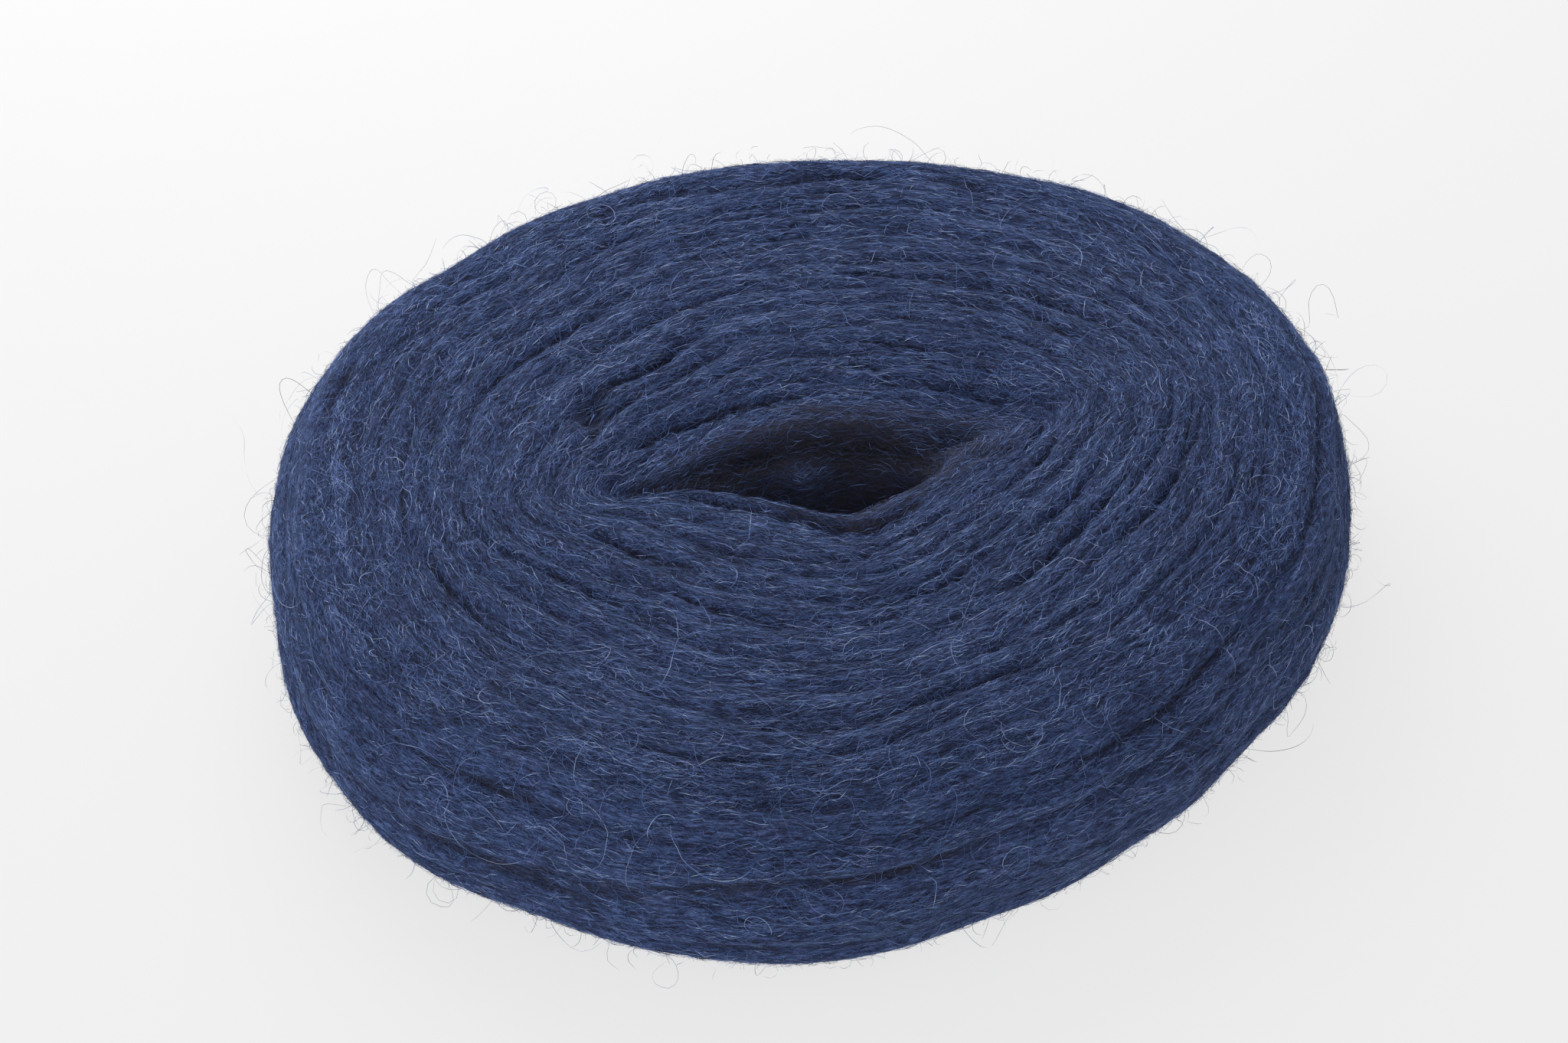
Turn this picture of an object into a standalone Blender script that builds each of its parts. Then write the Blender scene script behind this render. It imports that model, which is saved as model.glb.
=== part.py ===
"""Unspun wool yarn: one flat plate of wound roving around a pressed-in hollow.

The plate lies on the ground plane, +Z up, with its origin under the middle of its box.
+X runs along the leaf-shaped hollow. The surface is one closed grid: section rows run
out over the top, down the side, back under the plate and up through the hollow, and
each row is closed around the plate. Ridges and furrows then move its points in or out.
"""
import math

import bmesh
import bpy
import numpy as np

MM = 0.001

# Driving sizes of the plate, in metres.
THICKNESS = 0.038
MEAN_RADIUS = 0.1039
SHOULDER_REACH = 0.016
ROUNDING = 2.6
RIDGE_ROOM = 0.0006
SWELL_HEIGHT = 0.0006
SWELL_TWIST = 5.0

# The share of the top's width over which it sinks towards the hollow.
FUNNEL_SHARE = 0.16

# Rows of the underside that are pressed quite flat, where the plate rests.
FLAT_BAND = (2.22, 2.62)

# The round outline is pressed out of true: waves in a turn, height, direction of a crest.
OUTLINE_WAVES = (
    # waves, height_mm, crest_deg
    (2, 5.1, 30.0),
    (3, 1.7, 9.0),
    (4, 0.4, 126.0),
    (6, 0.6, 24.0),
)

# Places where the edge is pressed in (minus) or stands out (plus) from those waves.
EDGE_DENTS = (
    # middle_deg, height_mm, width_deg
    (-2, 1.3, 8),
    (24, -0.8, 6),
    (42, 1.1, 9),
    (59, 1.0, 6),
    (121, -1.3, 7),
    (224, -1.8, 9),
    (272, -2.1, 9),
    (290, -0.8, 8),
    (313, -1.4, 9),
)

# The hollow's outlines: where its upper lip, its narrow throat at mid height and its lower
# lip lie, and how far the top sinks towards the upper lip.
HOLLOW_COLUMNS = ("lip_x", "lip_y", "lip_sink", "throat_x", "throat_y", "lower_x", "lower_y")
HOLLOW_POINTS_MM = (
    # a row for each 30 degrees around the hollow, from its right-hand corner
    (45.0, 2.0, 5.0, 22.0, 0.0, 41.0, -2.0),
    (34.0, 9.0, 5.5, 19.0, 3.0, 36.0, 5.5),
    (20.0, 14.5, 3.5, 12.0, 5.5, 22.0, 12.5),
    (4.0, 17.0, 2.0, 3.0, 6.5, 3.0, 15.0),
    (-11.0, 14.5, 2.0, -6.0, 7.0, -16.0, 12.5),
    (-25.0, 9.0, 2.5, -15.0, 5.0, -30.0, 5.5),
    (-36.0, 2.5, 3.5, -22.0, 1.5, -35.0, -2.0),
    (-24.0, -1.5, 2.5, -16.0, -2.0, -30.0, -9.5),
    (-10.5, -9.0, 3.0, -8.0, -5.0, -16.0, -16.5),
    (4.0, -18.0, 4.5, 2.5, -8.5, 3.0, -19.0),
    (18.0, -13.5, 4.5, 11.0, -7.5, 22.0, -16.5),
    (33.0, -6.5, 4.5, 19.0, -4.5, 36.0, -9.5),
)

# Rows of the section, counted by face, and columns around the plate.
TOP_ROWS = 38
SIDE_ROWS = 19
UNDER_ROWS = 22
HOLLOW_ROWS = 14
COLUMNS = 60

# Rows are numbered by their way around the section: 0 to 1 on the top from lip to edge,
# 1 to 2 down the side, 2 to 3 back under the plate, 3 to 4 up the wall of the hollow.
TOP, SIDE, UNDER, HOLLOW = 0.0, 1.0, 2.0, 3.0
FACE_LENGTH_MM = (82.0, 46.0, 82.0, 36.0)

# Groups of turns stand up as soft ridges: how many on a face, and how high.
RIDGES = (
    # face, ridges, height_mm
    (TOP, 9, 0.6),
    (SIDE, 5, 0.9),
    (UNDER, 8, 0.3),
    (HOLLOW, 4, 0.5),
)

# The ridges sway from side to side: waves in a turn, twist across a face, share of a ridge.
SWAYS = (
    (2, 9.0, 0.2),
    (3, -14.0, 0.15),
)
RIDGE_FADE = 8.0

# Where the turns on top are pushed in towards the hollow (minus) or out from it (plus).
BENDS = (
    # middle_deg, shift_of_row, width_deg
    (208, -0.085, 20),
    (268, 0.030, 14),
    (318, -0.030, 15),
    (72, -0.025, 14),
    (96, 0.025, 10),
    (122, -0.030, 12),
)

# The deeper furrows: where each runs around the plate, and its row at the start, middle, end.
FURROWS = (
    # from_deg, to_deg, start_row, middle_row, end_row, depth_mm, width_mm
    (82, 156, 0.045, 0.080, 0.130, 2.2, 2.8),
    (16, 62, 0.055, 0.088, 0.090, 0.9, 2.2),
    (50, 82, 0.145, 0.135, 0.155, 1.4, 2.4),
    (26, 60, 0.150, 0.168, 0.185, 1.0, 2.2),
    (28, 94, 0.215, 0.230, 0.285, 1.6, 2.4),
    (20, 64, 0.320, 0.330, 0.350, 0.9, 2.2),
    (99, 140, 0.415, 0.355, 0.415, 2.2, 2.8),
    (122, 172, 0.300, 0.258, 0.235, 1.6, 2.4),
    (100, 126, 0.290, 0.272, 0.250, 0.9, 2.2),
    (20, 50, 0.435, 0.480, 0.510, 1.1, 2.2),
    (20, 96, 0.575, 0.545, 0.615, 1.6, 2.4),
    (78, 138, 0.550, 0.525, 0.525, 1.4, 2.4),
    (40, 70, 0.665, 0.635, 0.605, 1.6, 2.4),
    (86, 99, 0.680, 0.705, 0.735, 1.8, 2.4),
    (99, 152, 0.685, 0.642, 0.670, 1.6, 2.4),
    (66, 94, 0.890, 0.848, 0.880, 1.0, 2.2),
    (204, 264, 0.020, 0.025, 0.030, 1.6, 2.4),
    (206, 234, 0.140, 0.120, 0.100, 0.8, 2.2),
    (218, 270, 0.200, 0.230, 0.165, 1.9, 2.8),
    (264, 312, 0.180, 0.115, 0.180, 2.2, 2.8),
    (304, 352, 0.150, 0.205, 0.135, 1.9, 2.8),
    (328, 356, 0.095, 0.080, 0.060, 1.8, 2.4),
    (194, 232, 0.305, 0.312, 0.325, 1.4, 2.4),
    (214, 252, 0.405, 0.435, 0.475, 1.3, 2.4),
    (186, 236, 0.565, 0.500, 0.560, 1.3, 2.4),
    (256, 300, 0.400, 0.410, 0.385, 2.2, 2.8),
    (300, 342, 0.395, 0.415, 0.375, 1.3, 2.4),
    (292, 334, 0.555, 0.528, 0.520, 1.3, 2.4),
    (312, 350, 0.655, 0.680, 0.715, 1.2, 2.4),
    (280, 306, 0.720, 0.770, 0.785, 1.6, 2.4),
    (180, 216, 0.805, 0.765, 0.775, 1.1, 2.2),
    (240, 268, 0.790, 0.850, 0.820, 1.3, 2.4),
    (266, 304, 0.820, 0.850, 0.885, 1.3, 2.4),
    (220, 276, 0.955, 0.945, 0.920, 1.1, 2.2),
    (52, 102, 1.090, 1.010, 1.090, 1.3, 2.6),
    (128, 156, 1.130, 1.105, 1.140, 1.0, 2.6),
    (222, 260, 1.190, 1.180, 1.110, 1.1, 2.6),
    (294, 332, 1.345, 1.335, 1.340, 1.4, 2.6),
    (192, 272, 1.440, 1.425, 1.420, 1.3, 2.6),
    (186, 334, 1.520, 1.480, 1.470, 1.4, 2.6),
    (190, 332, 1.590, 1.555, 1.560, 1.6, 2.6),
    (332, 400, 1.330, 1.300, 1.360, 1.4, 2.6),
    (20, 130, 1.500, 1.470, 1.520, 1.4, 2.6),
    (112, 190, 1.660, 1.600, 1.640, 1.4, 2.6),
    (12, 178, 3.800, 3.710, 3.880, 3.2, 3.6),
)

# Short pockets between turns: place on the plate, half length, half width, depth, direction.
POCKETS = (
    # x_mm, y_mm, half_mm, width_mm, depth_mm, turn_deg
    (-36.0, 25.0, 5.0, 3.0, 3.0, 60.0),
    (36.5, 3.5, 6.0, 3.5, 3.0, -8.0),
    (-33.0, 3.0, 4.0, 2.5, 1.5, 5.0),
)

WOOL_COLOUR = (0.022, 0.052, 0.135, 1.0)
WOOL_ROUGHNESS = 0.9


def outline_radius(angle):
    """Distance from the middle of the plate to its outer edge."""
    radius = np.full_like(angle, MEAN_RADIUS)
    for waves, height_mm, crest_deg in OUTLINE_WAVES:
        radius = radius + height_mm * MM * np.cos(waves * (angle - math.radians(crest_deg)))
    for middle_deg, height_mm, width_deg in EDGE_DENTS:
        away = np.mod(np.degrees(angle) - middle_deg + 180.0, 360.0) - 180.0
        radius = radius + height_mm * MM * np.exp(-(away / width_deg) ** 2)
    return radius


def edge_line(angle, inset):
    """The outer edge, drawn in by an inset."""
    reach = outline_radius(angle) - inset
    return np.stack((reach * np.cos(angle), reach * np.sin(angle)), axis=-1)


def around_hollow(column, angle):
    """One column of the hollow's table at any angle, by a smooth closed curve."""
    values = np.array(HOLLOW_POINTS_MM)[:, HOLLOW_COLUMNS.index(column)] * MM
    place = np.mod(angle / (2.0 * math.pi), 1.0) * len(values)
    low = np.floor(place).astype(int)
    part = place - low
    before, here, after, beyond = (values[(low + step) % len(values)] for step in (-1, 0, 1, 2))
    pull = 2.0 * before - 5.0 * here + 4.0 * after - beyond
    twist = 3.0 * (here - after) + beyond - before
    return here + 0.5 * part * (after - before + part * (pull + part * twist))


def hollow_line(angle, line):
    """One of the hollow's outlines: its lip, throat or lower lip."""
    return np.stack((around_hollow(line + "_x", angle), around_hollow(line + "_y", angle)), axis=-1)


def round_over(turn):
    """A rounded edge: how far across and how far up, for a turn of +90 to -90 degrees."""
    power = 2.0 / ROUNDING
    across = np.abs(np.cos(turn)) ** power
    up = np.sign(np.sin(turn)) * np.abs(np.sin(turn)) ** power
    return across, up


def top_height(share, angle):
    """Height of the top face, which sinks a little towards the hollow."""
    funnel = around_hollow("lip_sink", angle) * np.exp(-(share / FUNNEL_SHARE) ** 2)
    swell = SWELL_HEIGHT * share * np.sin(2.0 * angle + SWELL_TWIST * share)
    return THICKNESS - RIDGE_ROOM - funnel + swell


def top_point(share, angle):
    """A point of the top face, a share of the way from the lip to the edge."""
    lip = hollow_line(angle, "lip")
    edge = edge_line(angle, SHOULDER_REACH)
    plan = lip + (edge - lip) * share
    return np.column_stack((plan, top_height(share, angle)))


def side_point(share, angle):
    """A point of the side, from the top face over both rounded edges to the underside."""
    across, up = round_over(math.pi * (0.5 - share))
    plan = edge_line(angle, SHOULDER_REACH * (1.0 - across))
    height = 0.5 * (1.0 + up) * top_height(1.0, angle)
    return np.column_stack((plan, height))


def under_point(share, angle):
    """A point of the underside, a share of the way from the edge to the hollow."""
    lip = hollow_line(angle, "lower")
    edge = edge_line(angle, SHOULDER_REACH)
    plan = edge + (lip - edge) * share
    return np.column_stack((plan, np.zeros_like(angle)))


def hollow_point(share, angle):
    """A point of the wall of the hollow, from the lower lip through the throat and up."""
    across, up = round_over(math.pi * (share - 0.5))
    lower = hollow_line(angle, "lower")
    upper = hollow_line(angle, "lip")
    lip = lower + (upper - lower) * 0.5 * (1.0 + up)
    plan = lip + (hollow_line(angle, "throat") - lip) * across
    height = 0.5 * (1.0 + up) * top_height(0.0, angle)
    return np.column_stack((plan, height))


def section_rows():
    """Row numbers around the section, with the function that places each face."""
    faces = (
        (TOP, TOP_ROWS, top_point),
        (SIDE, SIDE_ROWS, side_point),
        (UNDER, UNDER_ROWS, under_point),
        (HOLLOW, HOLLOW_ROWS, hollow_point),
    )
    rows = []
    for start, count, place in faces:
        for step in range(count):
            rows.append((start + step / count, step / count, place))
    return rows


def bend_of_turns(share, angle):
    """How far the turns on top are pushed out of their even rows."""
    bend = np.zeros_like(angle)
    for middle_deg, shift, width_deg in BENDS:
        away = np.mod(np.degrees(angle) - middle_deg + 180.0, 360.0) - 180.0
        bend += shift * np.exp(-(away / width_deg) ** 2)
    return bend * math.sin(math.pi * share)


def ridge_relief(row, angle):
    """Soft ridges of turns, winding outwards by one ridge in each turn of the plate."""
    relief = np.zeros_like(angle)
    for face, ridges, height_mm in RIDGES:
        share = row - face
        if not 0.0 <= share < 1.0:
            continue
        phase = ridges * share + angle / (2.0 * math.pi)
        for waves, twist, sway in SWAYS:
            phase = phase + sway * np.sin(waves * angle + twist * share)
        if face == TOP:
            phase = phase - ridges * bend_of_turns(share, angle)
        fade = min(1.0, RIDGE_FADE * share, RIDGE_FADE * (1.0 - share))
        relief += height_mm * MM * fade * (2.0 * np.abs(np.sin(math.pi * phase)) - 1.0)
    return relief


def furrow_relief(row, angle):
    """The deeper furrows, each a shallow arc that fades out at both of its ends."""
    relief = np.zeros_like(angle)
    for from_deg, to_deg, start_row, middle_row, end_row, depth_mm, width_mm in FURROWS:
        face = int(start_row)
        if int(row) != face:
            continue
        start = math.radians(from_deg)
        along = np.mod(angle - start, 2.0 * math.pi) / math.radians(to_deg - from_deg)
        bow = 4.0 * (middle_row - 0.5 * (start_row + end_row)) * along * (1.0 - along)
        middle = start_row + (end_row - start_row) * along + bow
        away_mm = (row - middle) * FACE_LENGTH_MM[face]
        fade = np.sqrt(np.sin(math.pi * np.clip(along, 0.0, 1.0)))
        relief -= depth_mm * MM * fade * np.exp(-(away_mm / width_mm) ** 2)
    return relief


def pocket_relief(points):
    """The short pockets, pressed down into the top face."""
    relief = np.zeros(len(points))
    for x_mm, y_mm, half_mm, width_mm, depth_mm, turn_deg in POCKETS:
        turn = math.radians(turn_deg)
        from_x = points[:, 0] / MM - x_mm
        from_y = points[:, 1] / MM - y_mm
        along = (from_x * math.cos(turn) + from_y * math.sin(turn)) / half_mm
        across = (from_y * math.cos(turn) - from_x * math.sin(turn)) / width_mm
        relief -= depth_mm * MM * np.exp(-along ** 2 - across ** 2)
    return relief


def surface_grid():
    """All points of the plate: rows around the section, columns around the plate."""
    angle = np.linspace(0.0, 2.0 * math.pi, COLUMNS, endpoint=False)
    rows = section_rows()
    base = np.array([place(share, angle) for _, share, place in rows])
    along_row = np.roll(base, -1, axis=1) - np.roll(base, 1, axis=1)
    along_section = np.roll(base, -1, axis=0) - np.roll(base, 1, axis=0)
    normal = np.cross(along_section, along_row)
    normal /= np.linalg.norm(normal, axis=2, keepdims=True)
    relief = np.zeros(base.shape[:2])
    for index, (row, _, _) in enumerate(rows):
        relief[index] = ridge_relief(row, angle) + furrow_relief(row, angle)
        if row < SIDE:
            relief[index] += pocket_relief(base[index])
        if FLAT_BAND[0] <= row <= FLAT_BAND[1]:
            relief[index] = 0.0
    points = base + normal * relief[:, :, None]
    points[:, :, 2] = np.maximum(points[:, :, 2], 0.0)
    middle = 0.5 * (points.min(axis=(0, 1)) + points.max(axis=(0, 1)))
    points[:, :, :2] -= middle[:2]
    return points


def wool_material():
    """Navy wool: dull, with no metal."""
    material = bpy.data.materials.new("navy_wool")
    material.use_nodes = True
    shader = material.node_tree.nodes["Principled BSDF"]
    shader.inputs["Base Color"].default_value = WOOL_COLOUR
    shader.inputs["Roughness"].default_value = WOOL_ROUGHNESS
    shader.inputs["Metallic"].default_value = 0.0
    material.diffuse_color = WOOL_COLOUR
    return material


def wound_wool():
    """The plate as one closed body, its grid joined up in both directions."""
    points = surface_grid()
    mesh = bpy.data.meshes.new("wound_wool")
    body = bmesh.new()
    grid = [[body.verts.new(point) for point in row] for row in points]
    for lower, upper in zip(grid, grid[1:] + grid[:1]):
        for column in range(COLUMNS):
            after = (column + 1) % COLUMNS
            body.faces.new((lower[column], upper[column], upper[after], lower[after]))
    bmesh.ops.triangulate(body, faces=body.faces, quad_method="SHORT_EDGE")
    body.to_mesh(mesh)
    body.free()
    mesh.shade_smooth()
    mesh.materials.append(wool_material())
    plate = bpy.data.objects.new("wound_wool", mesh)
    bpy.context.scene.collection.objects.link(plate)
    return plate


def main():
    for old in list(bpy.data.objects):
        bpy.data.objects.remove(old, do_unlink=True)
    wound_wool()


main()
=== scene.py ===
# %% [markdown]
# # A plate of unspun wool
#
# Unspun wool is sold as a plate: one soft strand of carded fibre, wound into a flat disc
# with a narrow hollow in its middle. The eye reads three things in it: the form of the
# winding, the furrows between its turns, and the countless fibres on it and around it.
#
# This lesson builds those three in that order. The plain solid in the frame gives the
# place and the size, and is then replaced by the fine form.

# %% Load the frame
import math

import bpy
import numpy as np
from mathutils import Matrix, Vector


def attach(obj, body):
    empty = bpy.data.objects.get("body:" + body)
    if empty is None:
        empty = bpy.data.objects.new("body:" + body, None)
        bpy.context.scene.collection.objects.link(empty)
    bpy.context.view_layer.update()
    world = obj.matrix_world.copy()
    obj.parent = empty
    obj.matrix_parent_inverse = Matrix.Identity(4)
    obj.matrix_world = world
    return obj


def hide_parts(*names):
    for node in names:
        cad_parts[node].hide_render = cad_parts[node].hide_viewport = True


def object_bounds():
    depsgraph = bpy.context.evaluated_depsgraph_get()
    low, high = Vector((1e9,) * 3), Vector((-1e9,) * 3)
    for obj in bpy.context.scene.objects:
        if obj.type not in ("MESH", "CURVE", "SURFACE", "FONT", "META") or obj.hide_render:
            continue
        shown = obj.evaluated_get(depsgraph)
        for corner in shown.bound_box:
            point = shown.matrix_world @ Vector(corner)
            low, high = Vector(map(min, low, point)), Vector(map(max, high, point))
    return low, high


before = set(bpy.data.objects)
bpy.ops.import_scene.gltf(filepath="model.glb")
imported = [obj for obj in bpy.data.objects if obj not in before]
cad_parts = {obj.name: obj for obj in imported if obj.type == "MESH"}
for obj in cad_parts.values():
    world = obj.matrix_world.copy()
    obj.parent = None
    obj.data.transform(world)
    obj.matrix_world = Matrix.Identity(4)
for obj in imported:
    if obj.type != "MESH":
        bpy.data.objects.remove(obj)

MM = 0.001
ONE_TURN = 2.0 * math.pi
NODE = "wound_wool"
BODY = "root"
CAD_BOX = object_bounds()
print("the plain solid measures", [round(1000 * side, 1) for side in CAD_BOX[1] - CAD_BOX[0]], "mm")

# %% [markdown]
# ## The form of the winding
#
# The plate could be sculpted by hand, or started from a torus and pressed flat. Here it is
# one function instead, with four faces: the top, the side, the underside and the wall of
# the hollow. It takes a row, which is the way across a face, and an angle around the plate,
# and gives a point. So every fibre that is laid on later can ask for its own place.
#
# The sizes are those of the plain solid, so that the fine form stays where the solid is.

# %% Sizes and outlines of the plate
THICKNESS = 0.038
MEAN_RADIUS = 0.1039
SHOULDER_REACH = 0.016
ROUNDING = 2.6
RIDGE_ROOM = 0.0006
SWELL_HEIGHT = 0.0006
SWELL_TWIST = 5.0
FUNNEL_SHARE = 0.16

OUTLINE_WAVES = (
    # waves, height_mm, crest_deg
    (2, 5.1, 30.0),
    (3, 1.7, 9.0),
    (4, 0.4, 126.0),
    (6, 0.6, 24.0),
)

EDGE_DENTS = (
    # middle_deg, height_mm, width_deg
    (-2, 1.3, 8),
    (24, -0.8, 6),
    (42, 1.1, 9),
    (59, 1.0, 6),
    (121, -1.3, 7),
    (224, -1.8, 9),
    (272, -2.1, 9),
    (290, -0.8, 8),
    (313, -1.4, 9),
)

# The hollow's outlines at its upper lip, its narrow throat and its lower lip.
HOLLOW_COLUMNS = ("lip_x", "lip_y", "lip_sink", "throat_x", "throat_y", "lower_x", "lower_y")
HOLLOW_POINTS_MM = (
    # a row for each 30 degrees around the hollow, from its right-hand corner
    (45, 2, 5, 22, 0, 41, -2),
    (34, 9, 5.5, 19, 3, 36, 5.5),
    (20, 14.5, 3.5, 12, 5.5, 22, 12.5),
    (4, 17, 2, 3, 6.5, 3, 15),
    (-11, 14.5, 2, -6, 7, -16, 12.5),
    (-25, 9, 2.5, -15, 5, -30, 5.5),
    (-36, 2.5, 3.5, -22, 1.5, -35, -2),
    (-24, -1.5, 2.5, -16, -2, -30, -9.5),
    (-10.5, -9, 3, -8, -5, -16, -16.5),
    (4, -18, 4.5, 2.5, -8.5, 3, -19),
    (18, -13.5, 4.5, 11, -7.5, 22, -16.5),
    (33, -6.5, 4.5, 19, -4.5, 36, -9.5),
)


def degrees_from(middle_deg, angle):
    """How far angles lie from a middle, from -180 to 180 degrees."""
    return np.mod(np.degrees(angle) - middle_deg + 180.0, 360.0) - 180.0


def hump(middle_deg, width_deg, angle):
    """A soft hump around the plate: 1 in its middle, and nearly 0 past two widths."""
    return np.exp(-(degrees_from(middle_deg, angle) / width_deg) ** 2)


def outline_radius(angle):
    radius = np.full_like(angle, MEAN_RADIUS)
    for waves, height_mm, crest_deg in OUTLINE_WAVES:
        radius = radius + height_mm * MM * np.cos(waves * (angle - math.radians(crest_deg)))
    for middle_deg, height_mm, width_deg in EDGE_DENTS:
        radius = radius + height_mm * MM * hump(middle_deg, width_deg, angle)
    return radius


def edge_line(angle, inset):
    reach = outline_radius(angle) - inset
    return reach * np.cos(angle), reach * np.sin(angle)


def around_hollow(column, angle):
    """One column of the hollow's table at any angle, by a smooth closed curve."""
    values = np.array(HOLLOW_POINTS_MM)[:, HOLLOW_COLUMNS.index(column)] * MM
    place = np.mod(angle / ONE_TURN, 1.0) * len(values)
    low = np.floor(place).astype(int)
    part = place - low
    before, here, after, beyond = (values[(low + step) % len(values)] for step in (-1, 0, 1, 2))
    pull = 2.0 * before - 5.0 * here + 4.0 * after - beyond
    twist = 3.0 * (here - after) + beyond - before
    return here + 0.5 * part * (after - before + part * (pull + part * twist))


def hollow_line(angle, line):
    return around_hollow(line + "_x", angle), around_hollow(line + "_y", angle)


def round_over(turn):
    power = 2.0 / ROUNDING
    across = np.abs(np.cos(turn)) ** power
    up = np.sign(np.sin(turn)) * np.abs(np.sin(turn)) ** power
    return across, up


def top_height(share, angle):
    funnel = around_hollow("lip_sink", angle) * np.exp(-(share / FUNNEL_SHARE) ** 2)
    swell = SWELL_HEIGHT * share * np.sin(2.0 * angle + SWELL_TWIST * share)
    return THICKNESS - RIDGE_ROOM - funnel + swell


# %% One point of the winding
# Rows run from 0 to 1 over the top, 1 to 2 down the side, 2 to 3 back under the plate and
# 3 to 4 up the wall of the hollow.
FACES = TOP, SIDE, UNDER, HOLLOW = 0, 1, 2, 3
FACE_LENGTH_MM = (82.0, 46.0, 82.0, 36.0)


def face_of(row):
    return np.clip(np.floor(row), TOP, HOLLOW).astype(int)


def blend(start, end, share):
    return start + (end - start) * share


def winding_point(row, angle):
    """Points of the smooth winding, for arrays of rows and angles of one shape."""
    face = face_of(row)
    share = row - face
    upper_x, upper_y = hollow_line(angle, "lip")
    lower_x, lower_y = hollow_line(angle, "lower")
    throat_x, throat_y = hollow_line(angle, "throat")
    edge_x, edge_y = edge_line(angle, SHOULDER_REACH)
    side_across, side_up = round_over(math.pi * (0.5 - share))
    side_x, side_y = edge_line(angle, SHOULDER_REACH * (1.0 - side_across))
    inward, wall_up = round_over(math.pi * (share - 0.5))
    rise = 0.5 * (1.0 + wall_up)
    lip_x, lip_y = blend(lower_x, upper_x, rise), blend(lower_y, upper_y, rise)
    faces = (
        (blend(upper_x, edge_x, share), blend(upper_y, edge_y, share), top_height(share, angle)),
        (side_x, side_y, 0.5 * (1.0 + side_up) * top_height(1.0, angle)),
        (blend(edge_x, lower_x, share), blend(edge_y, lower_y, share), np.zeros_like(angle)),
        (blend(lip_x, throat_x, inward), blend(lip_y, throat_y, inward), rise * top_height(0.0, angle)),
    )
    return np.stack([np.choose(face, part) for part in zip(*faces)], axis=-1)


# %% [markdown]
# ## Turns, ridges and furrows
#
# On the real plate the strand is 3 to 5 mm thick and laid with a loose hand: turns lie in
# groups, some stand proud, some sink, and where two groups part a dark furrow opens. A
# noise texture would give lumps, not turns. So the relief is made of the turns themselves:
# one long spiral, whose thickness and height change slowly along its own length, and then
# the deeper furrows and pockets, placed in the plate's own sizes.

# %% Random ripples that close around the plate
THREAD_KNOTS = 4096


def eased(part):
    return part * part * (3.0 - 2.0 * part)


def lattice_noise(rows, columns, seed, row, angle):
    """Smooth noise of about -1 to 1 on a lattice that closes around the plate."""
    values = np.random.default_rng(seed).uniform(-1.0, 1.0, (rows + 1, columns))
    across = np.clip(row, 0.0, 1.0) * (rows - 1)
    along = np.mod(angle / ONE_TURN, 1.0) * columns
    low, left = np.floor(across).astype(int), np.floor(along).astype(int)
    ease_across, ease_along = eased(across - low), eased(along - left)
    left, right = left % columns, (left + 1) % columns
    lower = blend(values[low, left], values[low, right], ease_along)
    upper = blend(values[low + 1, left], values[low + 1, right], ease_along)
    return blend(lower, upper, ease_across)


def thread_noise(seed, length):
    """Smooth noise along the strand's own length, counted in turns of the plate."""
    values = np.random.default_rng(seed).uniform(-1.0, 1.0, THREAD_KNOTS)
    place = np.mod(length, THREAD_KNOTS - 1.0)
    low = np.floor(place).astype(int)
    return blend(values[low], values[low + 1], eased(place - low))


# %% The groups of turns and the single turns
WINDING = (
    # face, groups, height_mm of a group, turns, height_mm of a turn
    (TOP, 9, 0.45, 21, 0.78),
    (SIDE, 5, 0.8, 10, 0.95),
    (UNDER, 8, 0.3, 19, 0.25),
    (HOLLOW, 4, 0.4, 8, 0.5),
)
SWAYS = (
    # waves, twist, share of a group
    (2, 9.0, 0.2),
    (3, -14.0, 0.15),
)
BENDS = (
    # middle_deg, shift_of_row, width_deg
    (208, -0.085, 20),
    (268, 0.030, 14),
    (318, -0.030, 15),
    (72, -0.025, 14),
    (96, 0.025, 10),
    (122, -0.030, 12),
)
RIDGE_FADE = 8.0
CHANGES_PER_TURN = 2.7
THREAD_START, LINE_START = 300.0, 900.0
WANDER, DRIFT = 0.55, 0.3
ROUND_POWER, ROUND_LEVEL = 0.42, 0.7
PROUD_SWING, LIFT_SWING = 0.6, 0.3
PATCH_LEVEL, PATCH_SWING = 0.75, 0.55


def bend_of_turns(share, angle):
    bend = np.zeros_like(angle)
    for middle_deg, shift, width_deg in BENDS:
        bend = bend + shift * hump(middle_deg, width_deg, angle)
    return bend * np.sin(math.pi * share)


def share_of(row, face):
    return np.clip(row - face, 0.0, 1.0)


def on_face(row, face, values, elsewhere=0.0):
    return np.where(face_of(row) == face, values, elsewhere)


def ridge_relief(row, angle):
    relief = np.zeros_like(angle)
    for face, groups, height_mm, _, _ in WINDING:
        share = share_of(row, face)
        phase = groups * share + angle / ONE_TURN
        for waves, twist, sway in SWAYS:
            phase = phase + sway * np.sin(waves * angle + twist * share)
        if face == TOP:
            phase = phase - groups * bend_of_turns(share, angle)
        fade = np.minimum(1.0, RIDGE_FADE * np.minimum(share, 1.0 - share))
        ridge = height_mm * MM * fade * (2.0 * np.abs(np.sin(math.pi * phase)) - 1.0)
        relief = relief + on_face(row, face, ridge)
    return relief


def turn_phase(face, turns, share, angle):
    """Counts the turns across a face, with their wander."""
    wander = lattice_noise(7, 11, 40 + face, share, angle)
    drift = lattice_noise(14, 26, 50 + face, share, angle)
    phase = turns * share + angle / ONE_TURN + WANDER * wander + DRIFT * drift
    if face == TOP:
        phase = phase - turns * bend_of_turns(share, angle)
    return phase


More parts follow.
